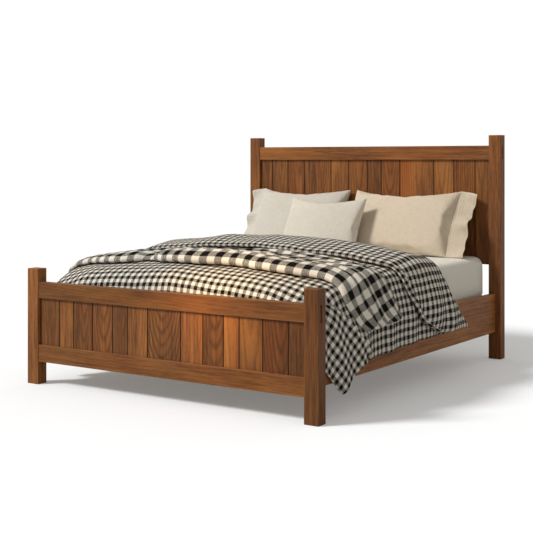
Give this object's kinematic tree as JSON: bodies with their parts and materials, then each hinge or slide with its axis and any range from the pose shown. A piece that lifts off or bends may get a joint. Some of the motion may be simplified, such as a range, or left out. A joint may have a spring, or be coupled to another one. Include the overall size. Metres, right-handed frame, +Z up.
{
  "type": "wooden bed",
  "caption": "Wooden bed with square posts, plank headboard and low plank footboard, slatted base, mattress, checked duvet, checked throw, pillows and a loose cushion.",
  "frame": {"origin": "on the floor under the middle of the bed", "axes": "+X across the bed to the right seen from the foot, +Y from foot to head, +Z up"},
  "size_m": [1.842, 2.12, 1.32],
  "materials": {
    "frame_wood": "satin",
    "board_wood": "satin",
    "plain_wood": "matte",
    "steel": "satin",
    "foot_nylon": "matte",
    "ticking": "matte",
    "sheet_cotton": "matte",
    "small_check": "matte",
    "large_check": "matte",
    "linen": "matte"
  },
  "bodies": {
    "bed": {"batten_and_cleat_screws": "steel", "catch_screws": "steel", "centre_beam": "plain_wood", "centre_leg_1": "plain_wood", "centre_leg_2": "plain_wood", "centre_leg_3": "plain_wood", "duvet": "small_check", "fitted_sheet": "sheet_cotton", "foot_board_01": "board_wood", "foot_board_02": "board_wood", "foot_board_03": "board_wood", "foot_board_04": "board_wood", "foot_board_05": "board_wood", "foot_board_06": "board_wood", "foot_board_07": "board_wood", "foot_board_08": "board_wood", "foot_board_09": "board_wood", "foot_board_10": "board_wood", "foot_board_11": "board_wood", "foot_board_12": "board_wood", "foot_board_13": "board_wood", "foot_bottom_rail": "frame_wood", "foot_post_left": "frame_wood", "foot_post_right": "frame_wood", "foot_top_rail": "frame_wood", "head_batten": "plain_wood", "head_board_01": "board_wood", "head_board_02": "board_wood", "head_board_03": "board_wood", "head_board_04": "board_wood", "head_board_05": "board_wood", "head_board_06": "board_wood", "head_board_07": "board_wood", "head_board_08": "board_wood", "head_board_09": "board_wood", "head_board_10": "board_wood", "head_board_11": "board_wood", "head_board_12": "board_wood", "head_post_left": "frame_wood", "head_post_right": "frame_wood", "head_top_rail": "frame_wood", "hook_pins": "steel", "leg_bolts": "steel", "leg_inserts": "steel", "mattress": "ticking", "pillow_left": "linen", "pillow_right": "linen", "rail_catches": "steel", "rail_hooks": "steel", "side_rail_left": "frame_wood", "side_rail_right": "frame_wood", "slat_cleat_left": "plain_wood", "slat_cleat_right": "plain_wood", "slat_screws": "steel", "slats": "plain_wood", "throw": "large_check"},
    "foot_1": {"levelling_foot_1": "foot_nylon"},
    "foot_2": {"levelling_foot_2": "foot_nylon"},
    "foot_3": {"levelling_foot_3": "foot_nylon"},
    "loose_cushion": {"cushion": "linen"}
  },
  "joints": [
    {"name": "cushion_lift", "type": "slide", "parent": "bed", "child": "loose_cushion", "axis": [0, 0, 1], "range_m": [0, 0.45]},
    {"name": "foot_1_adjust", "type": "slide", "parent": "bed", "child": "foot_1", "axis": [0, 0, 1], "range_m": [0, 0.007]},
    {"name": "foot_2_adjust", "type": "slide", "parent": "bed", "child": "foot_2", "axis": [0, 0, 1], "range_m": [0, 0.007]},
    {"name": "foot_3_adjust", "type": "slide", "parent": "bed", "child": "foot_3", "axis": [0, 0, 1], "range_m": [0, 0.007]}
  ]
}
